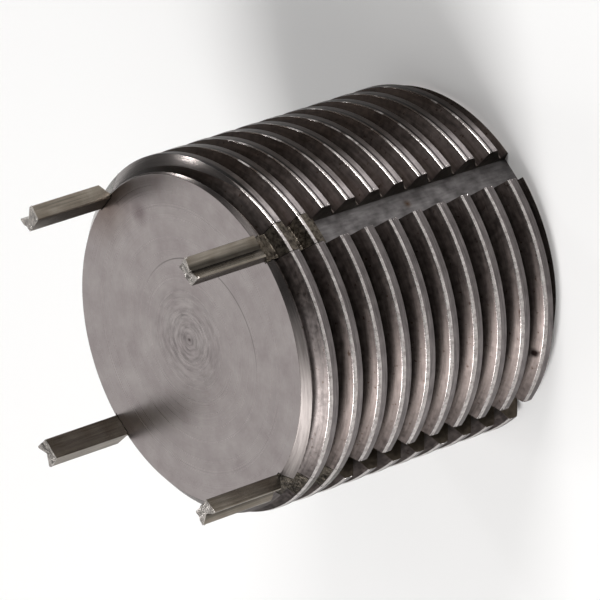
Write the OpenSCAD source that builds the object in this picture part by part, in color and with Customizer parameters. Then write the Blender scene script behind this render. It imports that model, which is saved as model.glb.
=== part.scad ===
// Solid key-locking threaded insert, standing on its plain back end with its four keys up.
// Millimetres, +Z along the axis towards the key end, origin at the centre of the back face.

/* [Thread] */
// Major diameter, over the flat crests
major_d = 17.7; // [14:0.1:30]
// Pitch of the right-hand helix
pitch = 1.5; // [1.4:0.05:2]
// Depth of the thread, from crest to root
thread_depth = 0.77; // [0.4:0.01:0.8]
// Width of the flat on each crest, measured along the axis
crest_flat = 0.5; // [0.3:0.01:0.6]
// Angle between one flank and a plane square to the axis
flank_angle = 30; // [20:1:30]
// Drop from the key-end face to the upper edge of the first crest, on the +X side
first_crest = 0.73; // [0.4:0.01:1.2]

/* [Body] */
// Length of the body, from the back face to the key-end face
body_h = 15.8; // [10:0.1:40]
// Width of the chamfer at the key end
key_end_chamfer = 0.79; // [0.3:0.01:0.9]
// Width of the chamfer at the back end
back_chamfer = 0.52; // [0.2:0.01:0.9]

/* [Slots] */
// Number of keys and slots round the body
key_count = 4; // [2:1:6]
// Angle from the +X side to the first slot
first_slot_angle = -45; // [-90:7.5:90]
// Depth of each slot below the crests
slot_depth = 0.95; // [0.8:0.01:1.6]
// Width of the slot floor
slot_floor_w = 1.28; // [1.2:0.01:2]
// Width of the slot at the crests
slot_mouth_w = 1.62; // [1.6:0.01:2.4]

/* [Keys] */
// Gap between a key and each wall of its slot
key_gap = 0.03; // [0.02:0.01:0.06]
// Length of key that stands above the key-end face before it is driven
key_free = 4.45; // [2:0.05:8]
// Length of the threaded foot inside the slot
foot_l = 3.5; // [2:0.1:6]
// Depth of the thread cut across the foot
foot_thread_depth = 0.6; // [0.3:0.01:0.6]
// Height of the bar above its inner face
bar_h = 0.76; // [0.5:0.01:0.9]
// Width of the bar at its inner face
bar_inner_w = 1.1; // [0.9:0.01:1.2]
// Width of the bar at its outer face
bar_outer_w = 1.2; // [1:0.01:1.3]
// Width of the V groove along the outer face of the bar
vee_w = 1; // [0.4:0.01:1]
// Depth of the V groove
vee_depth = 0.34; // [0.1:0.01:0.4]
// Metal left at the neck, where the V notch parts the bar from its foot
neck_t = 0.18; // [0.12:0.01:0.3]
// Size of the bevel round the free end of the bar
tip_bevel = 0.08; // [0.02:0.01:0.15]

/* [Hidden] */
$fn = 128;

crest_r = major_d / 2;
// Steps of the helix to a turn
helix_steps = 48;
step_angle = 360 / helix_steps;
// How far a cutter runs past the surface that it cuts, and past the ends of the body
overrun = 0.15;
// Turns that the groove runs past each end of the body
spare_turns = 1;
flank_run = tan(flank_angle);
slot_floor_r = crest_r - slot_depth;
slot_lean = (slot_mouth_w - slot_floor_w) / 2 / slot_depth;
key_inner_r = slot_floor_r + key_gap;
bar_outer_r = key_inner_r + bar_h;
neck_r = key_inner_r + neck_t;
// How far the neck reaches down into the foot
neck_root = 0.4;
steel = [0.66, 0.64, 0.62];
key_steel = [0.55, 0.52, 0.48];

// Half width of a slot at a given radius
function slot_half(r) = slot_floor_w / 2 + slot_lean * (r - slot_floor_r);

// Height of the upper edge of the crest at an angle from the +X side, with more than 360 for more turns
function crest_z(angle) = body_h - first_crest + pitch * angle / 360;

// Section of the groove above a crest, as radius and height over the crest's upper edge
function groove_section(depth) = [
    [crest_r + overrun, -overrun * flank_run],
    [crest_r - depth, depth * flank_run],
    [crest_r - depth, pitch - crest_flat - depth * flank_run],
    [crest_r + overrun, pitch - crest_flat + overrun * flank_run]
];

// Thread groove swept along the helix from one angle to another, in whole steps
module helical_groove(depth, from_angle, steps) {
    section = groove_section(depth);
    corners = len(section);
    points = [
        for (i = [0 : steps], p = section)
            let (a = from_angle + i * step_angle)
            [p[0] * cos(a), p[0] * sin(a), p[1] + crest_z(a)]
    ];
    sides = [
        for (i = [0 : steps - 1], k = [0 : corners - 1])
            let (next = (k + 1) % corners)
            [i * corners + k, (i + 1) * corners + k, (i + 1) * corners + next, i * corners + next]
    ];
    start_cap = [[for (k = [0 : corners - 1]) k]];
    end_cap = [[for (k = [0 : corners - 1]) (steps + 1) * corners - 1 - k]];
    polyhedron(points = points, faces = concat(start_cap, sides, end_cap));
}

// Turned blank with a chamfer at each end
module blank() {
    rotate_extrude()
        polygon([
            [0, 0],
            [crest_r - back_chamfer, 0],
            [crest_r, back_chamfer],
            [crest_r, body_h - key_end_chamfer],
            [crest_r - key_end_chamfer, body_h],
            [0, body_h]
        ]);
}

// Prism with the section of a slot, drawn in by a gap on each wall and on the floor
module slot_prism(gap, low, high) {
    floor_r = slot_floor_r + gap;
    top_r = crest_r + 2 * overrun;
    translate([0, 0, low])
        linear_extrude(high - low)
            polygon([
                [floor_r, gap - slot_half(floor_r)],
                [top_r, gap - slot_half(top_r)],
                [top_r, slot_half(top_r) - gap],
                [floor_r, slot_half(floor_r) - gap]
            ]);
}

// Places a shape at each slot
module at_slot(i) {
    rotate([0, 0, first_slot_angle + i * 360 / key_count]) children();
}

module insert_body() {
    turns = ceil(body_h / pitch) + 2 * spare_turns;
    color(steel)
        difference() {
            blank();
            helical_groove(thread_depth, 360 * (spare_turns - turns), turns * helix_steps);
            for (i = [0 : key_count - 1])
                at_slot(i) slot_prism(0, -overrun, body_h + overrun);
        }
}

// Bar with the V groove along its outer face, cut back along the thread's flank at the neck
module key_bar() {
    reach = bar_outer_r + overrun;
    difference() {
        translate([0, 0, body_h])
            linear_extrude(key_free)
                polygon([
                    [key_inner_r, -bar_inner_w / 2],
                    [bar_outer_r, -bar_outer_w / 2],
                    [bar_outer_r, -vee_w / 2],
                    [bar_outer_r - vee_depth, 0],
                    [bar_outer_r, vee_w / 2],
                    [bar_outer_r, bar_outer_w / 2],
                    [key_inner_r, bar_inner_w / 2]
                ]);
        rotate([90, 0, 0])
            linear_extrude(2 * slot_mouth_w, center = true)
                polygon([
                    [neck_r, body_h - overrun],
                    [neck_r, body_h],
                    [reach, body_h + (reach - neck_r) * flank_run],
                    [reach, body_h - overrun]
                ]);
        // Bevel on the outer edge of the free end
        rotate([90, 0, 0])
            linear_extrude(2 * slot_mouth_w, center = true)
                polygon([
                    [bar_outer_r - tip_bevel, body_h + key_free + overrun],
                    [bar_outer_r - tip_bevel, body_h + key_free],
                    [bar_outer_r, body_h + key_free - tip_bevel],
                    [reach, body_h + key_free - tip_bevel],
                    [reach, body_h + key_free + overrun]
                ]);
    }
}

// Foot that fills the slot and carries the body's thread across it
module key_foot(angle) {
    // Whole steps that reach past each wall of the slot
    side_steps = ceil(asin(slot_mouth_w / 2 / crest_r) / step_angle) + 1;
    first_step = floor(angle / step_angle) - side_steps;
    grooves = ceil(foot_l / pitch) + spare_turns;
    difference() {
        intersection() {
            rotate([0, 0, angle]) slot_prism(key_gap, body_h - foot_l, body_h);
            blank();
        }
        for (n = [0 : grooves])
            translate([0, 0, -n * pitch])
                helical_groove(foot_thread_depth, first_step * step_angle, 2 * side_steps + 1);
    }
}

module locking_key(i) {
    angle = first_slot_angle + i * 360 / key_count;
    color(key_steel)
        union() {
            rotate([0, 0, angle]) {
                key_bar();
                translate([key_inner_r, -bar_inner_w / 2, body_h - neck_root])
                    cube([neck_t, bar_inner_w, neck_root + overrun]);
            }
            key_foot(angle);
        }
}

insert_body();
locking_key(0);  // locking_key_1
locking_key(1);  // locking_key_2
locking_key(2);  // locking_key_3
locking_key(3);  // locking_key_4
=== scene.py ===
"""Looks of a solid key-locking threaded insert: turned body with its thread and slots, and the keys."""

import random
from math import asin, atan2, cos, hypot, pi, radians, sin, tan

import bmesh
import bpy
from mathutils import Matrix, Vector, noise


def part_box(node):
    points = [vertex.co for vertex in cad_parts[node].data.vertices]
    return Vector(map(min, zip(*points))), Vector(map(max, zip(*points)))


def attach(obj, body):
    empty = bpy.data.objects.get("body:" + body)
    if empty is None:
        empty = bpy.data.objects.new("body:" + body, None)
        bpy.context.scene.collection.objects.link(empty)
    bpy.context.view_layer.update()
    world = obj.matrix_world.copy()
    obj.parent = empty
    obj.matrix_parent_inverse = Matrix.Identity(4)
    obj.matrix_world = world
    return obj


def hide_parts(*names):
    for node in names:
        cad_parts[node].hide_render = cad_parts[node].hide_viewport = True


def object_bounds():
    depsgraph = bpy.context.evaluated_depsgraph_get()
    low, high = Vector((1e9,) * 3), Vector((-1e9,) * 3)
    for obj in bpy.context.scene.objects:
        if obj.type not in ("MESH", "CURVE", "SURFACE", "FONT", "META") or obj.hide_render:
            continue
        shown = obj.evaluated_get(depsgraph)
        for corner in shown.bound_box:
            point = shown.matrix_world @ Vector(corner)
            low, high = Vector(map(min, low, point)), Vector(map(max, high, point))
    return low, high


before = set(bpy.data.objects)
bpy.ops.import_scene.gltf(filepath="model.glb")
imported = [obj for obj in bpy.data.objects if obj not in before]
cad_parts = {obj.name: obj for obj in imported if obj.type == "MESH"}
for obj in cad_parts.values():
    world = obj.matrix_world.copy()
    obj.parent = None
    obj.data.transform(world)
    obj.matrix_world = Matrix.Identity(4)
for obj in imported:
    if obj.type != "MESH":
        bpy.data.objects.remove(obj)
cad_low, cad_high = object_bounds()

MM = 0.001


def polar(radius, angle, height):
    """Point at a radius and height, at an angle from the +X side."""
    return Vector((radius * cos(angle), radius * sin(angle), height))


# Camera: a long lens looking down on the key end, rolled so that the axis lies across the picture
CAMERA_TARGET = Vector((0.12, 0.05, 8.89)) * MM
CAMERA_AZIMUTH = 24.23
CAMERA_ELEVATION = 36.76
CAMERA_ROLL = 108.56
CAMERA_DISTANCE = 288 * MM
CAMERA_LENS = 362

# Body, from the frame, and its thread
CREST_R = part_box("insert_body")[1].x
BODY_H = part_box("insert_body")[1].z
PITCH = 1.5 * MM
THREAD_DEPTH = 0.77 * MM
FOOT_THREAD_DEPTH = 0.6 * MM
CREST_FLAT = 0.5 * MM
FLANK_RUN = tan(radians(30))
FIRST_CREST = 0.73 * MM
KEY_END_CHAMFER = 0.79 * MM
BACK_CHAMFER = 0.52 * MM
# The corner of each crest that faces the key end is rubbed down to a shallow bevel and a round nose,
# least round one side and most round the other
BEVEL_LEAST_W = 0.05 * MM
BEVEL_W = 0.17 * MM
BEVEL_SLOPE = 0.26
BEVEL_DEPTH = BEVEL_SLOPE * BEVEL_W
NOSE_R = 0.05 * MM
MOST_RUBBED = radians(-125)
BEVEL_BACK_ROUND = 0.08 * MM
ROOT_ROUND = 0.04 * MM
BACK_EDGE_ROUND = 0.03 * MM
# The thread tool enters over part of a turn at the key end, and leaves more of the first crest there,
# and a share of that at its root
RUN_IN = 0.15 * MM
RUN_IN_AT_ROOT = 0.4
RUN_IN_TURN = radians(45)
# Steps of the mesh to a turn, and the height over a crest's lower edge where one turn joins the next
TURN_STEPS = 288
SEAM_RISE = CREST_FLAT * 0.1

# Slots and keys
KEY_NAMES = [name for name in sorted(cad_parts) if name.startswith("locking_key")]
KEY_COUNT = len(KEY_NAMES)
FIRST_SLOT_ANGLE = radians(-45)
SLOT_DEPTH = 0.95 * MM
SLOT_FLOOR_R = CREST_R - SLOT_DEPTH
SLOT_FLOOR_W = 1.28 * MM
SLOT_MOUTH_W = 1.62 * MM
SLOT_LEAN = (SLOT_MOUTH_W - SLOT_FLOOR_W) / 2 / SLOT_DEPTH
KEY_GAP = 0.03 * MM
KEY_INNER_R = SLOT_FLOOR_R + KEY_GAP
KEY_FREE = cad_high.z - BODY_H
FOOT_L = 3.5 * MM
NECK_ROOT = 0.4 * MM
BAR_H = 0.76 * MM
BAR_OUTER_R = KEY_INNER_R + BAR_H
BAR_INNER_W = 1.1 * MM
BAR_OUTER_W = 1.2 * MM
VEE_W = 1.0 * MM
VEE_DEPTH = 0.34 * MM
NECK_T = 0.18 * MM
NECK_R = KEY_INNER_R + NECK_T
KEY_EDGE_R = 0.04 * MM

# How far a cutting shape runs past the ends of what it cuts, and past the crests at a slot's mouth
OVERRUN = 1 * MM
MOUTH_OVERRUN = 0.4 * MM

# Welding and shading of the finished meshes
WELD_GAP = 0.0005 * MM
SHORTEST_EDGE = 0.0002 * MM
SHARP_ANGLE = radians(32)

# Middle of the side that is painted darker, as painted shade
SHADED_SIDE_MIDDLE = radians(12)

# Burrs: lumps that the slot cutter left on the crests, and the torn part of each sheared key end
BURR_SIZE = 0.045 * MM
BURR_PLACES = (0.15, 0.5, 0.85)
TIP_BURR = 0.065 * MM
TEAR_DEPTH = 0.13 * MM
TEAR_GRAIN = 0.22 * MM
TEAR_EDGE_W = 0.2 * MM
LEAST_TORN = 0.12

# Black spot on the front flank of the last thread
LAST_THREAD_SPOT = polar(CREST_R - 0.35 * MM, radians(-109), 1.33 * MM)

# Shade of a patch that leaves the tint as it is
CLEAR = (1, 1, 1, 1)


def colour(text):
    """Linear colour from an sRGB hex value such as #9a918f."""
    levels = [int(text[i : i + 2], 16) / 255 for i in (1, 3, 5)]
    return [v / 12.92 if v <= 0.04045 else ((v + 0.055) / 1.055) ** 2.4 for v in levels] + [1]


def place_camera():
    """Camera aimed from an azimuth and elevation, then rolled about its line of sight."""
    azimuth, elevation = radians(CAMERA_AZIMUTH), radians(CAMERA_ELEVATION)
    back = Vector((sin(azimuth) * cos(elevation), -cos(azimuth) * cos(elevation), sin(elevation)))
    camera = bpy.data.objects.new("camera", bpy.data.cameras.new("camera"))
    bpy.context.scene.collection.objects.link(camera)
    camera.data.lens = CAMERA_LENS
    camera.data.clip_start = 0.01
    camera.location = CAMERA_TARGET + back * CAMERA_DISTANCE
    level = (-back).to_track_quat("-Z", "Y").to_matrix().to_4x4()
    camera.matrix_world = Matrix.Translation(camera.location) @ level @ Matrix.Rotation(
        radians(-CAMERA_ROLL), 4, "Z"
    )
    bpy.context.scene.camera = camera


place_camera()


def rounded(points, radii, steps=3):
    """Open outline with each inner corner turned into an arc of the given radius."""
    outline = [Vector(points[0])]
    for i in range(1, len(points) - 1):
        corner, before, after = Vector(points[i]), Vector(points[i - 1]), Vector(points[i + 1])
        if radii[i] == 0:
            outline.append(corner)
            continue
        to_before, to_after = (before - corner).normalized(), (after - corner).normalized()
        half = to_before.angle(to_after) / 2
        centre = corner + (to_before + to_after).normalized() * radii[i] / sin(half)
        start = corner + to_before * radii[i] / tan(half)
        end = corner + to_after * radii[i] / tan(half)
        first, last = start - centre, end - centre
        for k in range(steps + 1):
            mix = first.lerp(last, k / steps).normalized() * radii[i]
            outline.append(centre + mix)
    outline.append(Vector(points[-1]))
    return outline


def crest_z(angle):
    """Height of the upper edge of a crest, on the turn that starts at the key end."""
    return BODY_H - FIRST_CREST + PITCH * angle / (2 * pi)


def thread_section(depth, bevel_w, rise):
    """One pitch of the thread as radius and height over a crest's upper edge, from land to land.

    The rise moves the front flank up, so that the crest is wider and the groove narrower.
    """
    root_run = depth * FLANK_RUN
    bevel_depth = BEVEL_SLOPE * bevel_w
    points = [
        (CREST_R, SEAM_RISE - CREST_FLAT),
        (CREST_R, rise - bevel_w),
        (CREST_R - bevel_depth, rise + bevel_depth * FLANK_RUN),
        (CREST_R - depth, root_run + RUN_IN_AT_ROOT * rise),
        (CREST_R - depth, PITCH - CREST_FLAT - root_run),
        (CREST_R, PITCH - CREST_FLAT),
        (CREST_R, PITCH + SEAM_RISE - CREST_FLAT),
    ]
    radii = [0, BEVEL_BACK_ROUND, NOSE_R, ROOT_ROUND, ROOT_ROUND, BACK_EDGE_ROUND, 0]
    return rounded(points, radii)


def swept_thread(depth, first_step, turns):
    """Closed rod whose side is the section swept along the helix, with a fan over each end."""
    mesh = bmesh.new()
    steps = turns * TURN_STEPS
    sections = [
        [thread_section(depth, width, rise) for width in (BEVEL_LEAST_W, BEVEL_W)] for rise in (0, RUN_IN)
    ]
    corners = len(sections[0][0]) - 1

    def vertex(i, k):
        angle = (first_step + i) * 2 * pi / TURN_STEPS
        worn = 0.5 + 0.5 * cos(angle - MOST_RUBBED)
        entry = min(max(angle / RUN_IN_TURN + 1, 0), 1)
        full, entering = [sharp[k].lerp(rubbed[k], worn) for sharp, rubbed in sections]
        point = full.lerp(entering, entry * entry * (3 - 2 * entry))
        return mesh.verts.new(polar(point.x, angle, point.y + crest_z(angle)))

    # The last edge of each section is the first edge of the section one turn on
    seam = [vertex(i, 0) for i in range(steps + TURN_STEPS + 1)]
    columns = [
        [seam[i]] + [vertex(i, k) for k in range(1, corners)] + [seam[i + TURN_STEPS]]
        for i in range(steps + 1)
    ]
    for i in range(steps):
        for k in range(corners):
            a, b = columns[i], columns[i + 1]
            mesh.faces.new((a[k], b[k], b[k + 1], a[k + 1]))
    low_loop = seam[: TURN_STEPS + 1] + columns[0][-2:0:-1]
    high_loop = seam[steps:] + columns[-1][-2:0:-1]
    for loop in (low_loop, high_loop):
        middle = mesh.verts.new((0, 0, sum(v.co.z for v in loop) / len(loop)))
        for a, b in zip(loop, loop[1:] + loop[:1]):
            mesh.faces.new((a, b, middle))
    bmesh.ops.recalc_face_normals(mesh, faces=mesh.faces)
    return mesh


def turned(profile, steps):
    """Closed body of revolution from a profile of radius and height that starts and ends on the axis."""
    mesh = bmesh.new()
    low, high = mesh.verts.new((0, 0, profile[0][1])), mesh.verts.new((0, 0, profile[-1][1]))
    rings = [
        [mesh.verts.new(polar(r, i * 2 * pi / steps, z)) for i in range(steps)]
        for r, z in profile[1:-1]
    ]
    for a, b in zip(rings, rings[1:]):
        for i in range(steps):
            j = (i + 1) % steps
            mesh.faces.new((a[i], a[j], b[j], b[i]))
    for i in range(steps):
        j = (i + 1) % steps
        mesh.faces.new((low, rings[0][j], rings[0][i]))
        mesh.faces.new((high, rings[-1][i], rings[-1][j]))
    bmesh.ops.recalc_face_normals(mesh, faces=mesh.faces)
    return mesh


def prism(outline, low, high):
    """Closed prism over an outline of X and Y."""
    mesh = bmesh.new()
    below = [mesh.verts.new((x, y, low)) for x, y in outline]
    above = [mesh.verts.new((x, y, high)) for x, y in outline]
    for i in range(len(outline)):
        j = (i + 1) % len(outline)
        mesh.faces.new((below[i], below[j], above[j], above[i]))
    mesh.faces.new(below[::-1])
    mesh.faces.new(above)
    bmesh.ops.recalc_face_normals(mesh, faces=mesh.faces)
    return mesh


def to_object(name, mesh):
    """New object that takes over a bmesh."""
    data = bpy.data.meshes.new(name)
    mesh.to_mesh(data)
    mesh.free()
    made = bpy.data.objects.new(name, data)
    bpy.context.scene.collection.objects.link(made)
    return made


def combine(target, tool_mesh, operation):
    """Applies one boolean of a bmesh to an object, and deletes the tool."""
    tool = to_object("tool", tool_mesh)
    modifier = target.modifiers.new("combine", "BOOLEAN")
    modifier.operation = operation
    modifier.solver = "MANIFOLD"
    modifier.object = tool
    graph = bpy.context.evaluated_depsgraph_get()
    result = bpy.data.meshes.new_from_object(target.evaluated_get(graph))
    target.modifiers.remove(modifier)
    target.data = result
    bpy.data.objects.remove(tool)


def drop_crumbs(mesh):
    """Deletes the loose crumbs that a union leaves: every group of joined faces but the largest."""
    waiting = set(mesh.faces)
    groups = []
    while waiting:
        group = [waiting.pop()]
        for face in group:
            for edge in face.edges:
                for other in edge.link_faces:
                    if other in waiting:
                        waiting.remove(other)
                        group.append(other)
        groups.append(group)
    groups.sort(key=len)
    crumbs = [face for group in groups[:-1] for face in group]
    bmesh.ops.delete(mesh, geom=crumbs, context="FACES")


def tidy_mesh(piece):
    """Welds and shades a finished mesh: smooth within a surface, sharp where surfaces meet."""
    mesh = bmesh.new()
    mesh.from_mesh(piece.data)
    bmesh.ops.remove_doubles(mesh, verts=mesh.verts, dist=WELD_GAP)
    bmesh.ops.dissolve_degenerate(mesh, edges=mesh.edges, dist=SHORTEST_EDGE)
    drop_crumbs(mesh)
    many_sided = [face for face in mesh.faces if len(face.verts) > 4]
    bmesh.ops.triangulate(mesh, faces=many_sided, ngon_method="BEAUTY")
    mesh.to_mesh(piece.data)
    mesh.free()
    for polygon in piece.data.polygons:
        polygon.use_smooth = True
    piece.data.set_sharp_from_angle(angle=SHARP_ANGLE)
    weighted = piece.modifiers.new("weighted", "WEIGHTED_NORMAL")
    weighted.keep_sharp = True


def slot_half(radius):
    """Half width of a slot at a radius."""
    return SLOT_FLOOR_W / 2 + SLOT_LEAN * (radius - SLOT_FLOOR_R)


def slot_outline(gap, angle):
    """Section of a slot, drawn in by a gap on its floor and walls, turned to an angle."""
    floor_r, top_r = SLOT_FLOOR_R + gap, CREST_R + MOUTH_OVERRUN
    corners = [
        (floor_r, gap - slot_half(floor_r)),
        (top_r, gap - slot_half(top_r)),
        (top_r, slot_half(top_r) - gap),
        (floor_r, slot_half(floor_r) - gap),
    ]
    turn = Matrix.Rotation(angle, 2)
    return [turn @ Vector(p) for p in corners]


def blank_profile():
    """Turned blank with a chamfer at each end, a little wider than the crests between them."""
    reach = 0.3 * MM
    edge = 0.03 * MM
    points = [
        (0, 0),
        (CREST_R - BACK_CHAMFER, 0),
        (CREST_R + reach, BACK_CHAMFER + reach),
        (CREST_R + reach, BODY_H - KEY_END_CHAMFER - reach),
        (CREST_R - KEY_END_CHAMFER, BODY_H),
        (0, BODY_H),
    ]
    return rounded(points, [0, edge, 0, 0, edge, 0])


def slot_angle(i):
    """Angle from the +X side to slot i."""
    return FIRST_SLOT_ANGLE + i * 2 * pi / KEY_COUNT


def add_lump(mesh, centre, size):
    """Adds one lump: a ball made uneven by up to half its size, in its own way at each place."""
    lump = bmesh.ops.create_icosphere(mesh, subdivisions=2, radius=1)
    for vertex in lump["verts"]:
        uneven = 1 + 0.5 * noise.noise(vertex.co * 1.3 + centre / size)
        vertex.co = centre + vertex.co * size * uneven


def slot_burrs():
    """Burrs along both edges of each slot: a few on the land of every crest, clear of the key's way."""
    mesh = bmesh.new()
    dice = random.Random(7)
    for i in range(KEY_COUNT):
        for side in (-1, 1):
            for turn in range(int(BODY_H / PITCH) + 1):
                for place in BURR_PLACES:
                    drop = (place + dice.uniform(-0.02, 0.02)) * CREST_FLAT
                    size = BURR_SIZE * dice.uniform(0.6, 1.05)
                    # The widest that a lump can reach is half a gap inside the slot
                    beside = slot_half(CREST_R) + 1.5 * size - KEY_GAP / 2
                    angle = slot_angle(i) + side * asin(beside / CREST_R)
                    height = crest_z(angle) - turn * PITCH - drop
                    centre = polar(CREST_R - BEVEL_DEPTH / 2, angle, height)
                    if BACK_CHAMFER < centre.z < BODY_H - KEY_END_CHAMFER:
                        add_lump(mesh, centre, size)
    return mesh


def tip_burrs():
    """Burrs that shearing leaves on the outer corners of a bar's end and at the bottom of its groove."""
    mesh = bmesh.new()
    height = BODY_H + KEY_FREE - 1.4 * TIP_BURR
    flat_middle = (BAR_OUTER_W + VEE_W) / 4
    places = [
        (BAR_OUTER_R - KEY_EDGE_R, -flat_middle),
        (BAR_OUTER_R - VEE_DEPTH, 0),
        (BAR_OUTER_R - KEY_EDGE_R, flat_middle),
    ]
    for x, y in places:
        add_lump(mesh, Vector((x, y, height)), TIP_BURR)
    return mesh


def torn_block(low, high):
    """Block round a bar whose upper face is torn on its inner half, as shearing leaves it."""
    mesh = bmesh.new()
    cell = 0.05 * MM
    rows, columns = 28, 36
    start = Vector((KEY_INNER_R - 0.3 * MM, -columns / 2 * cell))
    middle = (KEY_INNER_R + BAR_OUTER_R) / 2
    above, below = [], []
    for i in range(rows + 1):
        above.append([])
        below.append([])
        for j in range(columns + 1):
            x, y = start.x + i * cell, start.y + j * cell
            torn = min(max((middle - x) / TEAR_EDGE_W + 0.5, LEAST_TORN), 1)
            rough = 0.5 + 0.5 * noise.noise(Vector((x, y, low)) / TEAR_GRAIN)
            above[-1].append(mesh.verts.new((x, y, high - TEAR_DEPTH * torn * rough)))
            below[-1].append(mesh.verts.new((x, y, low)))
    for i in range(rows):
        for j in range(columns):
            for sheet in (above, below):
                mesh.faces.new((sheet[i][j], sheet[i + 1][j], sheet[i + 1][j + 1], sheet[i][j + 1]))
    border = [(i, 0) for i in range(rows)] + [(rows, j) for j in range(columns)]
    border += [(i, columns) for i in range(rows, 0, -1)] + [(0, j) for j in range(columns, 0, -1)]
    for (i, j), (k, m) in zip(border, border[1:] + border[:1]):
        mesh.faces.new((above[i][j], above[k][m], below[k][m], below[i][j]))
    bmesh.ops.recalc_face_normals(mesh, faces=mesh.faces)
    return mesh


def make_body():
    """Body: a threaded rod turned to the blank's profile, then slotted, with burrs beside the slots."""
    low_turn = int(BODY_H / PITCH) + 2
    rod = swept_thread(THREAD_DEPTH, -low_turn * TURN_STEPS, low_turn + 1)
    body = to_object("threaded_body", rod)
    combine(body, turned(blank_profile(), TURN_STEPS), "INTERSECT")
    for i in range(KEY_COUNT):
        slot = prism(slot_outline(0, slot_angle(i)), -OVERRUN, BODY_H + OVERRUN)
        combine(body, slot, "DIFFERENCE")
    combine(body, slot_burrs(), "UNION")
    tidy_mesh(body)
    return body


def make_key(i):
    """Key i: bar with its V groove, neck, and foot that carries the thread across the slot."""
    angle = slot_angle(i)
    flat = (BAR_OUTER_W - VEE_W) / 2
    section = [
        (KEY_INNER_R, 0),
        (KEY_INNER_R, -BAR_INNER_W / 2),
        (BAR_OUTER_R, -BAR_OUTER_W / 2),
        (BAR_OUTER_R, flat - BAR_OUTER_W / 2),
        (BAR_OUTER_R - VEE_DEPTH, 0),
        (BAR_OUTER_R, BAR_OUTER_W / 2 - flat),
        (BAR_OUTER_R, BAR_OUTER_W / 2),
        (KEY_INNER_R, BAR_INNER_W / 2),
        (KEY_INNER_R, 0),
    ]
    corner_rounds = [KEY_EDGE_R] * 3
    outline = rounded(section, [0, *corner_rounds, 2 * KEY_EDGE_R, *corner_rounds, 0])[:-1]
    bar = prism(outline, BODY_H - NECK_ROOT, BODY_H + KEY_FREE + OVERRUN)
    key = to_object(KEY_NAMES[i].replace("locking", "driven"), bar)
    # A block that starts at a height of its own gives each key a tear of its own
    block_low = BODY_H - (1 + i / 7) * MM
    combine(key, torn_block(block_low, BODY_H + KEY_FREE), "INTERSECT")
    combine(key, tip_burrs(), "UNION")
    # V notch at the neck: its upper side leans as the thread's flank does
    reach = BAR_OUTER_R + 0.3 * MM
    notch = [
        (NECK_R, BODY_H - OVERRUN),
        (NECK_R, BODY_H),
        (reach, BODY_H + (reach - NECK_R) * FLANK_RUN),
        (reach, BODY_H - OVERRUN),
    ]
    wedge = prism(notch, -OVERRUN, OVERRUN)
    wedge.transform(Matrix(((1, 0, 0, 0), (0, 0, -1, 0), (0, 1, 0, 0), (0, 0, 0, 1))))
    combine(key, wedge, "DIFFERENCE")
    key.data.transform(Matrix.Rotation(angle, 4, "Z"))
    foot = to_object("foot", prism(slot_outline(KEY_GAP, angle), BODY_H - FOOT_L, BODY_H + 0.1 * MM))
    low_turn = 6
    rod = swept_thread(FOOT_THREAD_DEPTH, -low_turn * TURN_STEPS, low_turn + 1)
    combine(foot, rod, "INTERSECT")
    combine(foot, turned(blank_profile(), TURN_STEPS), "INTERSECT")
    joined = bmesh.new()
    joined.from_mesh(foot.data)
    combine(key, joined, "UNION")
    bpy.data.objects.remove(foot)
    tidy_mesh(key)
    return key


def feed(tree, node, inputs):
    """Sets a node's inputs: each is a value, a socket to link, or a node whose first output is linked."""
    for name, value in inputs.items():
        if isinstance(value, bpy.types.Node):
            value = next(socket for socket in value.outputs if socket.enabled)
        if isinstance(value, bpy.types.NodeSocket):
            tree.links.new(value, node.inputs[name])
        else:
            node.inputs[name].default_value = value


def add_node(tree, kind, inputs, **settings):
    """Adds a node with its settings and its inputs."""
    node = tree.nodes.new(kind)
    for name, value in settings.items():
        setattr(node, name, value)
    feed(tree, node, inputs)
    return node


def metal(name):
    """New material with a metal shader: its node tree, the shader and the object coordinates."""
    material = bpy.data.materials.new(name)
    material.use_nodes = True
    tree = material.node_tree
    shader = tree.nodes["Principled BSDF"]
    shader.inputs["Metallic"].default_value = 1
    place = add_node(tree, "ShaderNodeTexCoord", {}).outputs["Object"]
    return material, tree, shader, place


def brush_round_axis(tree, shader, amount):
    """Fine marks round the axis spread each reflection across them, along the axis."""
    tangent = add_node(tree, "ShaderNodeTangent", {}, direction_type="RADIAL", axis="Z")
    feed(tree, shader, {"Tangent": tangent, "Anisotropic": amount, "Anisotropic Rotation": 0.25})


def axis_distance(tree, place):
    """Distance from the axis."""
    flat = add_node(tree, "ShaderNodeVectorMath", {0: place, 1: (1, 1, 0)}, operation="MULTIPLY")
    return add_node(tree, "ShaderNodeVectorMath", {0: flat}, operation="LENGTH")


def thread_height(tree, place):
    """Height across the thread, from 0 at one crest's upper edge to a pitch at the next."""
    parts = add_node(tree, "ShaderNodeSeparateXYZ", {0: place}).outputs
    angle = add_node(tree, "ShaderNodeMath", {0: parts["Y"], 1: parts["X"]}, operation="ARCTAN2")
    rise = add_node(tree, "ShaderNodeMath", {0: angle, 1: PITCH / (2 * pi)}, operation="MULTIPLY")
    level = add_node(tree, "ShaderNodeMath", {0: parts["Z"], 1: rise}, operation="SUBTRACT")
    above = add_node(tree, "ShaderNodeMath", {0: level, 1: BODY_H - FIRST_CREST}, operation="SUBTRACT")
    return add_node(tree, "ShaderNodeMath", {0: above, 1: PITCH}, operation="FLOORED_MODULO")


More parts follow.
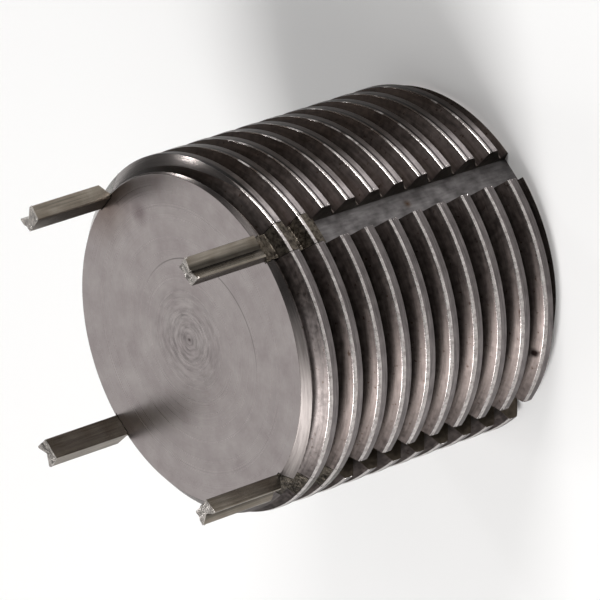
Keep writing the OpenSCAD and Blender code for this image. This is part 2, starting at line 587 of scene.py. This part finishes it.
def thread_tool_marks(tree, place, width):
    """Marks of the thread tool: drawn out along the helix, and shifted from turn to turn.

    The real marks are a few hundredths of a millimetre wide, and are drawn coarser so that they show.
    """
    height = add_node(tree, "ShaderNodeSeparateXYZ", {0: place}).outputs["Z"]
    across = add_node(
        tree, "ShaderNodeMath", {0: height, 1: 0.25, 2: thread_height(tree, place)}, operation="MULTIPLY_ADD"
    )
    along = add_node(tree, "ShaderNodeVectorMath", {0: place, 1: (0.05, 0.05, 0)}, operation="MULTIPLY")
    lift = add_node(tree, "ShaderNodeCombineXYZ", {"Z": across})
    vector = add_node(tree, "ShaderNodeVectorMath", {0: along, 1: lift}, operation="ADD")
    return add_node(
        tree, "ShaderNodeTexNoise", {"Vector": vector, "Scale": 1 / width, "Detail": 3, "Roughness": 0.6}
    )


def shaded_side(tree, place, reach):
    """How much painted shade a place gets: all of it round one side, and none past the angle it reaches."""
    waver = add_node(tree, "ShaderNodeTexNoise", {"Vector": place, "Scale": 1 / (1.5 * MM), "Detail": 4})
    end = CREST_R * cos(reach) + 0.8 * MM
    towards = add_node(
        tree,
        "ShaderNodeVectorMath",
        {0: place, 1: (cos(SHADED_SIDE_MIDDLE), sin(SHADED_SIDE_MIDDLE), 0)},
        operation="DOT_PRODUCT",
    )
    uneven = add_node(
        tree, "ShaderNodeMath", {0: waver, 1: 1.6 * MM, 2: towards}, operation="MULTIPLY_ADD"
    )
    return add_node(
        tree,
        "ShaderNodeMapRange",
        {"Value": uneven, "From Min": end, "From Max": end + 1.5 * MM},
    )


def stain(tree, tint, place, centre, inner, outer, shade):
    """Multiplies a tint by a shade within an uneven spot that fades from its inner to its outer radius."""
    waver = add_node(tree, "ShaderNodeTexNoise", {"Vector": place, "Scale": 0.6 / outer, "Detail": 4})
    reach = add_node(tree, "ShaderNodeVectorMath", {0: place, 1: centre}, operation="DISTANCE")
    away = add_node(tree, "ShaderNodeMath", {0: waver, 1: outer, 2: reach}, operation="MULTIPLY_ADD")
    clear = add_node(
        tree, "ShaderNodeMapRange", {"Value": away, "From Min": inner + outer / 2, "From Max": outer * 1.5}
    )
    level = add_node(
        tree, "ShaderNodeMix", {"Factor": clear, "A": colour(shade), "B": CLEAR}, data_type="RGBA"
    )
    return add_node(tree, "ShaderNodeVectorMath", {0: tint, 1: level}, operation="MULTIPLY")


def facing_marks(tree, place):
    """Grey level of the facing cut: faint rings in places, and coarse uneven ones round the centre."""
    radius = axis_distance(tree, place)
    # Real facing rings are finer, and are drawn 0.09 mm wide so that they show
    fine = add_node(
        tree,
        "ShaderNodeTexNoise",
        {"W": radius, "Scale": 1 / (0.09 * MM), "Detail": 2},
        noise_dimensions="1D",
    )
    places = add_node(tree, "ShaderNodeTexNoise", {"Vector": place, "Scale": 1 / (2.5 * MM), "Detail": 2})
    shown = add_node(
        tree,
        "ShaderNodeMapRange",
        {"Value": places, "From Min": 0.4, "From Max": 0.62, "To Min": 0.04, "To Max": 0.3},
    )
    faint = add_node(tree, "ShaderNodeMath", {0: fine, 1: 0.5}, operation="SUBTRACT")
    ring = add_node(tree, "ShaderNodeMath", {0: faint, 1: shown, 2: 1}, operation="MULTIPLY_ADD")
    # The tool slows and chatters near the centre, and leaves broken arcs
    round_axis = add_node(tree, "ShaderNodeVectorMath", {0: place, 1: (0.3, 0.3, 0)}, operation="MULTIPLY")
    out = add_node(tree, "ShaderNodeCombineXYZ", {"Z": radius})
    arc = add_node(tree, "ShaderNodeVectorMath", {0: round_axis, 1: out}, operation="ADD")
    chatter = add_node(
        tree, "ShaderNodeTexNoise", {"Vector": arc, "Scale": 1 / (0.2 * MM), "Detail": 4, "Roughness": 0.6}
    )
    core = add_node(
        tree,
        "ShaderNodeMapRange",
        {"Value": chatter, "From Min": 0.3, "From Max": 0.66, "To Min": 0.5, "To Max": 1.12},
    )
    near = add_node(
        tree,
        "ShaderNodeMapRange",
        {"Value": radius, "From Min": 0.7 * MM, "From Max": 3 * MM, "To Min": 1, "To Max": 0.06},
    )
    return add_node(tree, "ShaderNodeMix", {"Factor": near, "A": ring, "B": core}, data_type="FLOAT"), fine


def scribed_circle(tree, place):
    """Grey level of a thin circle scribed on the face, a little off its centre, that fades on one side."""
    centre = (-0.17 * MM, -0.62 * MM, BODY_H)
    radius = 4.28 * MM
    reach = add_node(tree, "ShaderNodeVectorMath", {0: place, 1: centre}, operation="DISTANCE")
    off = add_node(tree, "ShaderNodeMath", {0: reach, 1: radius}, operation="SUBTRACT")
    width = add_node(tree, "ShaderNodeMath", {0: off}, operation="ABSOLUTE")
    line = add_node(
        tree,
        "ShaderNodeMapRange",
        {"Value": width, "From Min": 0.01 * MM, "From Max": 0.045 * MM, "To Min": 0.5, "To Max": 1},
    )
    clear_side = (cos(radians(-21)), sin(radians(-21)), 0)
    side = add_node(tree, "ShaderNodeVectorMath", {0: place, 1: clear_side}, operation="DOT_PRODUCT")
    shown = add_node(
        tree, "ShaderNodeMapRange", {"Value": side, "From Min": 0.6 * MM, "From Max": 3.2 * MM}
    )
    return add_node(tree, "ShaderNodeMix", {"Factor": shown, "A": 1.0, "B": line}, data_type="FLOAT")


def faced_steel():
    """Faced stainless steel: the lathe tool leaves fine rings that the eye sees as a soft satin."""
    material, tree, shader, place = metal("faced stainless steel")
    cloud = add_node(
        tree, "ShaderNodeTexNoise", {"Vector": place, "Scale": 1 / (1.3 * MM), "Detail": 8, "Roughness": 0.7}
    )
    tint = add_node(
        tree,
        "ShaderNodeMix",
        {"Factor": cloud, "A": colour("#7c7172"), "B": colour("#aca6a3")},
        data_type="RGBA",
    )
    marks, fine = facing_marks(tree, place)
    for level in (marks, scribed_circle(tree, place)):
        tint = add_node(tree, "ShaderNodeVectorMath", {0: tint, 1: level}, operation="MULTIPLY")
    # Painted reflection of the second key, brown beside it on the face, a grey smudge below it, and the
    # centre pip
    by_key = polar(8.4 * MM, slot_angle(1), BODY_H)
    tint = stain(tree, tint, place, by_key, 0, 3 * MM, "#b3a396")
    tint = stain(tree, tint, place, (5.6 * MM, 3.1 * MM, BODY_H), 0.1 * MM, 0.7 * MM, "#cdc6c8")
    tint = stain(tree, tint, place, (0, 0, BODY_H), 0.02 * MM, 0.12 * MM, "#8a8080")
    rough = add_node(
        tree,
        "ShaderNodeMapRange",
        {"Value": fine, "From Min": 0.3, "From Max": 0.7, "To Min": 0.27, "To Max": 0.35},
    )
    grit = add_node(tree, "ShaderNodeTexNoise", {"Vector": place, "Scale": 1 / (0.12 * MM), "Detail": 3})
    relief = add_node(
        tree, "ShaderNodeBump", {"Height": grit, "Distance": 0.005 * MM, "Strength": 0.5}
    )
    feed(tree, shader, {"Base Color": tint, "Roughness": rough, "Normal": relief})
    return material


def chamfer_steel():
    """Turned chamfer: a finer cut than the face, so it mirrors the lights as clear streaks."""
    material, tree, shader, place = metal("finely turned stainless steel")
    brush_round_axis(tree, shader, 0.3)
    streaks = thread_tool_marks(tree, place, 0.09 * MM)
    tint = add_node(
        tree,
        "ShaderNodeMix",
        {"Factor": streaks, "A": colour("#453f3d"), "B": colour("#9d9693")},
        data_type="RGBA",
    )
    relief = add_node(tree, "ShaderNodeBump", {"Height": streaks, "Distance": 0.008 * MM, "Strength": 0.5})
    rough = add_node(
        tree,
        "ShaderNodeMapRange",
        {"Value": shaded_side(tree, place, radians(85)), "To Min": 0.45, "To Max": 0.25},
    )
    feed(tree, shader, {"Base Color": tint, "Roughness": rough, "Normal": relief})
    return material


def flank_steel():
    """Cut thread flank, brown-black: painted shade darkens it towards the root, and more over one side."""
    material, tree, shader, place = metal("thread flank, cut stainless steel with painted shade")
    streaks = thread_tool_marks(tree, place, 0.1 * MM)
    patches = add_node(tree, "ShaderNodeTexNoise", {"Vector": place, "Scale": 1 / (0.25 * MM), "Detail": 4})
    # Painted shade: the flank is darker towards the root
    outward = add_node(
        tree,
        "ShaderNodeMapRange",
        {"Value": axis_distance(tree, place), "From Min": CREST_R - THREAD_DEPTH, "From Max": CREST_R},
    )
    tint = add_node(
        tree,
        "ShaderNodeMix",
        {"Factor": outward, "A": colour("#36312e"), "B": colour("#655c59")},
        data_type="RGBA",
    )
    # Near the key end, away from the side with painted shade, one even lighter grey takes the place of the
    # painted root shade
    height = add_node(tree, "ShaderNodeSeparateXYZ", {0: place}).outputs["Z"]
    near_key_end = add_node(
        tree,
        "ShaderNodeMapRange",
        {"Value": height, "From Min": BODY_H - 1.5 * MM, "From Max": BODY_H - 0.9 * MM},
    )
    shade_amount = shaded_side(tree, place, radians(85))
    clear_of_shade = add_node(tree, "ShaderNodeMath", {0: 1, 1: shade_amount}, operation="SUBTRACT")
    bare = add_node(tree, "ShaderNodeMath", {0: near_key_end, 1: clear_of_shade}, operation="MULTIPLY")
    tint = add_node(
        tree, "ShaderNodeMix", {"Factor": bare, "A": tint, "B": colour("#6f6866")}, data_type="RGBA"
    )
    for pattern, depth in ((patches, 0.22), (streaks, 0.3)):
        level = add_node(
            tree,
            "ShaderNodeMapRange",
            {"Value": pattern, "From Min": 0.3, "From Max": 0.7, "To Min": 1 - depth, "To Max": 1 + depth},
        )
        tint = add_node(tree, "ShaderNodeVectorMath", {0: tint, 1: level}, operation="MULTIPLY")
    # Small brown pits, and the black spot on the last thread
    pits = add_node(tree, "ShaderNodeTexNoise", {"Vector": place, "Scale": 1 / (0.22 * MM), "Detail": 3})
    pitted = add_node(tree, "ShaderNodeMapRange", {"Value": pits, "From Min": 0.64, "From Max": 0.72})
    brown = add_node(
        tree, "ShaderNodeMix", {"Factor": pitted, "A": CLEAR, "B": colour("#b9a99d")}, data_type="RGBA"
    )
    tint = add_node(tree, "ShaderNodeVectorMath", {0: tint, 1: brown}, operation="MULTIPLY")
    # Painted shade: the flank is darker still over one side
    deep_shade_side = shaded_side(tree, place, radians(42))
    painted_shade_level = add_node(
        tree, "ShaderNodeMix", {"Factor": deep_shade_side, "A": CLEAR, "B": colour("#a39a92")}, data_type="RGBA"
    )
    tint = add_node(tree, "ShaderNodeVectorMath", {0: tint, 1: painted_shade_level}, operation="MULTIPLY")
    tint = stain(tree, tint, place, LAST_THREAD_SPOT, 0.12 * MM, 0.35 * MM, "#3c3431")
    rough = add_node(
        tree,
        "ShaderNodeMapRange",
        {"Value": patches, "From Min": 0.3, "From Max": 0.7, "To Min": 0.34, "To Max": 0.52},
    )
    relief = add_node(tree, "ShaderNodeBump", {"Height": patches, "Distance": 0.01 * MM, "Strength": 0.3})
    feed(tree, shader, {"Base Color": tint, "Roughness": rough, "Normal": relief})
    return material


def land_steel():
    """Crest land: the old skin of the blank, dull and streaked, with painted shade in a band behind the
    rubbed corner and over one side.
    """
    material, tree, shader, place = metal("crest land, dull stainless steel")
    brush_round_axis(tree, shader, 0.85)
    streaks = thread_tool_marks(tree, place, 0.06 * MM)
    patches = add_node(tree, "ShaderNodeTexNoise", {"Vector": place, "Scale": 1 / (0.6 * MM), "Detail": 5})
    tint = add_node(
        tree,
        "ShaderNodeMix",
        {"Factor": patches, "A": colour("#504b4b"), "B": colour("#817b7a")},
        data_type="RGBA",
    )
    # Painted shade: a dark band behind the rubbed corner, on the shaded side only
    line = add_node(
        tree,
        "ShaderNodeMapRange",
        {
            "Value": thread_height(tree, place),
            "From Min": PITCH - BEVEL_LEAST_W - 0.2 * MM,
            "From Max": PITCH - BEVEL_LEAST_W - 0.12 * MM,
            "To Min": 0,
            "To Max": 0.9,
        },
    )
    shade_band = add_node(
        tree,
        "ShaderNodeMath",
        {0: line, 1: shaded_side(tree, place, radians(64))},
        operation="MULTIPLY",
    )
    gap = add_node(tree, "ShaderNodeMath", {0: 1, 1: shade_band}, operation="SUBTRACT")
    level = add_node(
        tree,
        "ShaderNodeMapRange",
        {"Value": streaks, "From Min": 0.3, "From Max": 0.7, "To Min": 0.65, "To Max": 1.35},
    )
    # Painted shade over one side
    painted_shade_level = add_node(
        tree,
        "ShaderNodeMix",
        {
            "Factor": shaded_side(tree, place, radians(46)),
            "A": CLEAR,
            "B": colour("#928a82"),
        },
        data_type="RGBA",
    )
    for shade in (gap, level, painted_shade_level):
        tint = add_node(tree, "ShaderNodeVectorMath", {0: tint, 1: shade}, operation="MULTIPLY")
    relief = add_node(tree, "ShaderNodeBump", {"Height": streaks, "Distance": 0.008 * MM, "Strength": 0.6})
    feed(tree, shader, {"Base Color": tint, "Roughness": 0.4, "Normal": relief})
    return material


def rubbed_steel():
    """Rubbed corners and burrs: bright bare metal with small nicks that sparkle, under patches of painted
    shade on one side.
    """
    material, tree, shader, place = metal("rubbed corner, bare stainless steel")
    nicks = add_node(
        tree, "ShaderNodeTexNoise", {"Vector": place, "Scale": 1 / (0.2 * MM), "Detail": 4, "Roughness": 0.7}
    )
    streaks = thread_tool_marks(tree, place, 0.05 * MM)
    bright = add_node(
        tree, "ShaderNodeMapRange", {"Value": nicks, "From Min": 0.35, "From Max": 0.65}
    )
    tint = add_node(
        tree,
        "ShaderNodeMix",
        {"Factor": bright, "A": colour("#918a88"), "B": colour("#c6c1be")},
        data_type="RGBA",
    )
    level = add_node(
        tree,
        "ShaderNodeMapRange",
        {"Value": streaks, "From Min": 0.3, "From Max": 0.7, "To Min": 0.75, "To Max": 1.15},
    )
    # Painted shade in patches over one side, broken up by noise
    shade_breaks = add_node(tree, "ShaderNodeTexNoise", {"Vector": place, "Scale": 1 / (1.2 * MM), "Detail": 5})
    shaded_patches = add_node(tree, "ShaderNodeMapRange", {"Value": shade_breaks, "From Min": 0.64, "From Max": 0.5})
    shade_patch_amount = add_node(
        tree,
        "ShaderNodeMath",
        {0: shaded_patches, 1: shaded_side(tree, place, radians(46))},
        operation="MULTIPLY",
    )
    painted_shade_level = add_node(
        tree,
        "ShaderNodeMix",
        {"Factor": shade_patch_amount, "A": CLEAR, "B": colour("#625a54")},
        data_type="RGBA",
    )
    for shade in (level, painted_shade_level):
        tint = add_node(tree, "ShaderNodeVectorMath", {0: tint, 1: shade}, operation="MULTIPLY")
    nicked = add_node(
        tree,
        "ShaderNodeMapRange",
        {"Value": shaded_side(tree, place, radians(64)), "To Min": 0.15, "To Max": 1},
    )
    relief = add_node(
        tree, "ShaderNodeBump", {"Height": nicks, "Distance": 0.01 * MM, "Strength": nicked}
    )
    feed(tree, shader, {"Base Color": tint, "Roughness": 0.22, "Normal": relief})
    return material


def milled_steel():
    """Milled slot: a matt grey floor, mottled, with faint marks along the cutter's path."""
    material, tree, shader, place = metal("slot floor, milled stainless steel")
    # Real cutter marks are finer, and are drawn 0.12 mm wide so that they show
    path = add_node(tree, "ShaderNodeVectorMath", {0: place, 1: (1, 1, 0.15)}, operation="MULTIPLY")
    marks = add_node(tree, "ShaderNodeTexNoise", {"Vector": path, "Scale": 1 / (0.12 * MM), "Detail": 3})
    patches = add_node(tree, "ShaderNodeTexNoise", {"Vector": place, "Scale": 1 / (0.7 * MM), "Detail": 5})
    mottle = add_node(tree, "ShaderNodeMapRange", {"Value": patches, "From Min": 0.35, "From Max": 0.65})
    tint = add_node(
        tree,
        "ShaderNodeMix",
        {"Factor": mottle, "A": colour("#4c4949"), "B": colour("#6c6969")},
        data_type="RGBA",
    )
    level = add_node(
        tree,
        "ShaderNodeMapRange",
        {"Value": marks, "From Min": 0.3, "From Max": 0.7, "To Min": 0.82, "To Max": 1.18},
    )
    tint = add_node(tree, "ShaderNodeVectorMath", {0: tint, 1: level}, operation="MULTIPLY")
    speck = polar(SLOT_FLOOR_R, slot_angle(0), BODY_H * 0.42)
    tint = stain(tree, tint, place, speck, 0.03 * MM, 0.3 * MM, "#b08a63")
    relief = add_node(tree, "ShaderNodeBump", {"Height": patches, "Distance": 0.03 * MM, "Strength": 0.5})
    feed(tree, shader, {"Base Color": tint, "Roughness": 0.42, "Normal": relief})
    return material


def slot_wall_steel():
    """Slot wall: the same cut as the floor, painted near black as shade inside the slot."""
    material, tree, shader, place = metal("slot wall, stainless steel painted dark as shade")
    patches = add_node(tree, "ShaderNodeTexNoise", {"Vector": place, "Scale": 1 / (0.35 * MM), "Detail": 4})
    # Painted shade: the wall's tint is near black
    tint = add_node(
        tree,
        "ShaderNodeMix",
        {"Factor": patches, "A": colour("#26211c"), "B": colour("#5f574d")},
        data_type="RGBA",
    )
    relief = add_node(tree, "ShaderNodeBump", {"Height": patches, "Distance": 0.04 * MM, "Strength": 0.5})
    feed(tree, shader, {"Base Color": tint, "Roughness": 0.3, "Normal": relief})
    return material


def vee_shade(tree, place):
    """Grey level of painted shade that darkens the bottom of the V groove, on all four keys."""
    turned_place = add_node(
        tree, "ShaderNodeVectorRotate", {"Vector": place, "Angle": -FIRST_SLOT_ANGLE}, rotation_type="Z_AXIS"
    )
    size = add_node(tree, "ShaderNodeVectorMath", {0: turned_place}, operation="ABSOLUTE")
    parts = add_node(tree, "ShaderNodeSeparateXYZ", {0: size}).outputs
    sideways = add_node(tree, "ShaderNodeMath", {0: parts["X"], 1: parts["Y"]}, operation="MINIMUM")
    outward = add_node(tree, "ShaderNodeMath", {0: parts["X"], 1: parts["Y"]}, operation="MAXIMUM")
    dark = add_node(
        tree,
        "ShaderNodeMapRange",
        {"Value": sideways, "From Min": 0.08 * MM, "From Max": 0.36 * MM, "To Min": 0.22, "To Max": 1},
        interpolation_type="SMOOTHSTEP",
    )
    on_groove = add_node(
        tree, "ShaderNodeMath", {0: outward, 1: BAR_OUTER_R - VEE_DEPTH - 0.02 * MM}, operation="GREATER_THAN"
    )
    return add_node(tree, "ShaderNodeMix", {"Factor": on_groove, "A": 1.0, "B": dark}, data_type="FLOAT")


def wire_steel():
    """Drawn key wire: olive-grey steel with draw lines along its length, polished by the die."""
    material, tree, shader, place = metal("key bar, drawn stainless steel wire")
    # Real draw lines are finer, and are drawn 0.1 mm wide so that they show
    path = add_node(tree, "ShaderNodeVectorMath", {0: place, 1: (1, 1, 0.04)}, operation="MULTIPLY")
    lines = add_node(tree, "ShaderNodeTexNoise", {"Vector": path, "Scale": 1 / (0.1 * MM), "Detail": 3})
    patches = add_node(tree, "ShaderNodeTexNoise", {"Vector": place, "Scale": 1 / (0.9 * MM), "Detail": 5})
    tint = add_node(
        tree,
        "ShaderNodeMix",
        {"Factor": patches, "A": colour("#544a3e"), "B": colour("#8c867d")},
        data_type="RGBA",
    )
    level = add_node(
        tree,
        "ShaderNodeMapRange",
        {"Value": lines, "From Min": 0.3, "From Max": 0.7, "To Min": 0.7, "To Max": 1.3},
    )
    for shade in (level, vee_shade(tree, place)):
        tint = add_node(tree, "ShaderNodeVectorMath", {0: tint, 1: shade}, operation="MULTIPLY")
    relief = add_node(tree, "ShaderNodeBump", {"Height": lines, "Distance": 0.012 * MM, "Strength": 0.6})
    feed(tree, shader, {"Base Color": tint, "Roughness": 0.27, "Normal": relief})
    return material


def sheared_steel():
    """Sheared end of a key: torn bright metal, rough enough to sparkle."""
    material, tree, shader, place = metal("key end, sheared stainless steel")
    tears = add_node(
        tree, "ShaderNodeTexNoise", {"Vector": place, "Scale": 1 / (0.14 * MM), "Detail": 4, "Roughness": 0.7}
    )
    tint = add_node(
        tree,
        "ShaderNodeMix",
        {"Factor": tears, "A": colour("#5d5650"), "B": colour("#dcd6d0")},
        data_type="RGBA",
    )
    relief = add_node(tree, "ShaderNodeBump", {"Height": tears, "Distance": 0.05 * MM, "Strength": 0.7})
    feed(tree, shader, {"Base Color": tint, "Roughness": 0.25, "Normal": relief})
    return material


def foot_steel():
    """Key foot: the keys' steel, thread-cut and mottled greenish-brown, and painted darker than the bar as
    shade inside the slot.
    """
    material, tree, shader, place = metal("key foot, cut stainless steel")
    patches = add_node(
        tree, "ShaderNodeTexNoise", {"Vector": place, "Scale": 1 / (0.2 * MM), "Detail": 5, "Roughness": 0.7}
    )
    mottle = add_node(tree, "ShaderNodeMapRange", {"Value": patches, "From Min": 0.35, "From Max": 0.65})
    # Painted shade: the foot's tint is darker than the bar's
    tint = add_node(
        tree,
        "ShaderNodeMix",
        {"Factor": mottle, "A": colour("#231f1b"), "B": colour("#625b52")},
        data_type="RGBA",
    )
    relief = add_node(tree, "ShaderNodeBump", {"Height": patches, "Distance": 0.06 * MM, "Strength": 0.7})
    feed(tree, shader, {"Base Color": tint, "Roughness": 0.28, "Normal": relief})
    return material


# Finishes of the body and of a key, in the order of their materials
FACE, CHAMFER, FLANK, LAND, RUBBED, SLOT_FLOOR, SLOT_WALL = range(7)
BAR, BAR_END, FOOT, FOOT_CREST = range(4)


def on_rubbed_corner(radius, normal):
    """Whether a face belongs to the rubbed front corner of a crest, or to a burr above the crests."""
    return radius > CREST_R + 0.004 * MM or (normal.z > 0.1 and radius > CREST_R - BEVEL_DEPTH - NOSE_R / 2)


def zone_of_body(centre, normal):
    """Finish of a face of the body."""
    radius = hypot(centre.x, centre.y)
    if abs(normal.z) > 0.99:
        return FACE
    at_end = centre.z > BODY_H - KEY_END_CHAMFER or centre.z < BACK_CHAMFER
    if at_end and abs(abs(normal.z) - 0.7071) < 0.02:
        return CHAMFER
    outward = (normal.x * centre.x + normal.y * centre.y) / radius
    # Angle from the nearest slot
    slot_turn = (atan2(centre.y, centre.x) - FIRST_SLOT_ANGLE + pi / KEY_COUNT) % (2 * pi / KEY_COUNT)
    slot_turn -= pi / KEY_COUNT
    if outward < 0.3 and radius < CREST_R:
        return SLOT_WALL
    over_floor = abs(radius * sin(slot_turn)) < SLOT_FLOOR_W / 2
    if over_floor and radius * cos(slot_turn) < SLOT_FLOOR_R + 0.01 * MM:
        return SLOT_FLOOR
    if on_rubbed_corner(radius, normal):
        return RUBBED
    if outward > 0.9 and radius > CREST_R - 0.02 * MM:
        return LAND
    return FLANK


def zone_of_key(centre, normal):
    """Finish of a face of a key."""
    if centre.z > BODY_H + KEY_FREE - 1.2 * TEAR_DEPTH and normal.z > -0.6:
        return BAR_END
    if centre.z > BODY_H + 0.05 * MM:
        return BAR
    if centre.z < BODY_H - KEY_END_CHAMFER and on_rubbed_corner(hypot(centre.x, centre.y), normal):
        return FOOT_CREST
    return FOOT


def finish(piece, materials, zone):
    """Gives a piece its materials, one to a zone."""
    piece.data.materials.clear()
    for material in materials:
        piece.data.materials.append(material)
    for polygon in piece.data.polygons:
        polygon.material_index = zone(polygon.center, polygon.normal)


def make_lights():
    """Soft studio light: each lamp is aimed at the part from an azimuth and elevation."""
    # Name, azimuth, elevation, distance, width and height in millimetres, and radiance
    lamps = [
        ("main", 207, 50, 300, 120, 120, 13.0),
        ("back", 114, 37, 400, 330, 260, 1.0),
        ("left", 222, 33, 400, 540, 360, 1.0),
        ("strip", -11, 9, 400, 140, 120, 32.0),
        ("glint", 94, 8, 400, 60, 100, 13.0),
        ("spark", 50, 19, 400, 24, 24, 80.0),
        ("upper", 2, 52, 400, 120, 150, 1.0),
    ]
    for name, azimuth, elevation, distance, width, height, radiance in lamps:
        lamp = bpy.data.lights.new(name, "AREA")
        lamp.shape = "RECTANGLE"
        lamp.size, lamp.size_y = width * MM, height * MM
        lamp.energy = radiance * pi * lamp.size * lamp.size_y
        made = bpy.data.objects.new(name, lamp)
        towards = polar(cos(radians(elevation)), radians(azimuth), sin(radians(elevation)))
        made.location = CAMERA_TARGET + towards * distance * MM
        made.rotation_euler = (-towards).to_track_quat("-Z", "Y").to_euler()
        made.visible_camera = False
        bpy.context.scene.collection.objects.link(made)
    world = bpy.data.worlds.new("studio")
    bpy.context.scene.world = world
    world.use_nodes = True
    world.node_tree.nodes["Background"].inputs["Color"].default_value = colour("#585858")
    world.node_tree.nodes["Background"].inputs["Strength"].default_value = 1


def make_floor():
    """Pale floor that the part stands on."""
    data = bpy.data.meshes.new("floor")
    reach = 3
    data.from_pydata(
        [(-reach, -reach, 0), (reach, -reach, 0), (reach, reach, 0), (-reach, reach, 0)], [], [(0, 1, 2, 3)]
    )
    floor = bpy.data.objects.new("floor", data)
    bpy.context.scene.collection.objects.link(floor)
    material = bpy.data.materials.new("pale paper floor")
    material.use_nodes = True
    shader = material.node_tree.nodes["Principled BSDF"]
    shader.inputs["Base Color"].default_value = colour("#fbfaf9")
    shader.inputs["Roughness"].default_value = 0.9
    shader.inputs["Specular IOR Level"].default_value = 0.1
    data.materials.append(material)


body_finishes = [
    faced_steel(),
    chamfer_steel(),
    flank_steel(),
    land_steel(),
    rubbed_steel(),
    milled_steel(),
    slot_wall_steel(),
]
key_finishes = [wire_steel(), sheared_steel(), foot_steel(), body_finishes[RUBBED]]

body = make_body()
finish(body, body_finishes, zone_of_body)
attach(body, "body")
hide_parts("insert_body")

for i in range(KEY_COUNT):
    key = make_key(i)
    finish(key, key_finishes, zone_of_key)
    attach(key, f"key_{i + 1}")
    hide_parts(KEY_NAMES[i])

make_lights()
make_floor()

bpy.context.scene.view_settings.view_transform = "Standard"
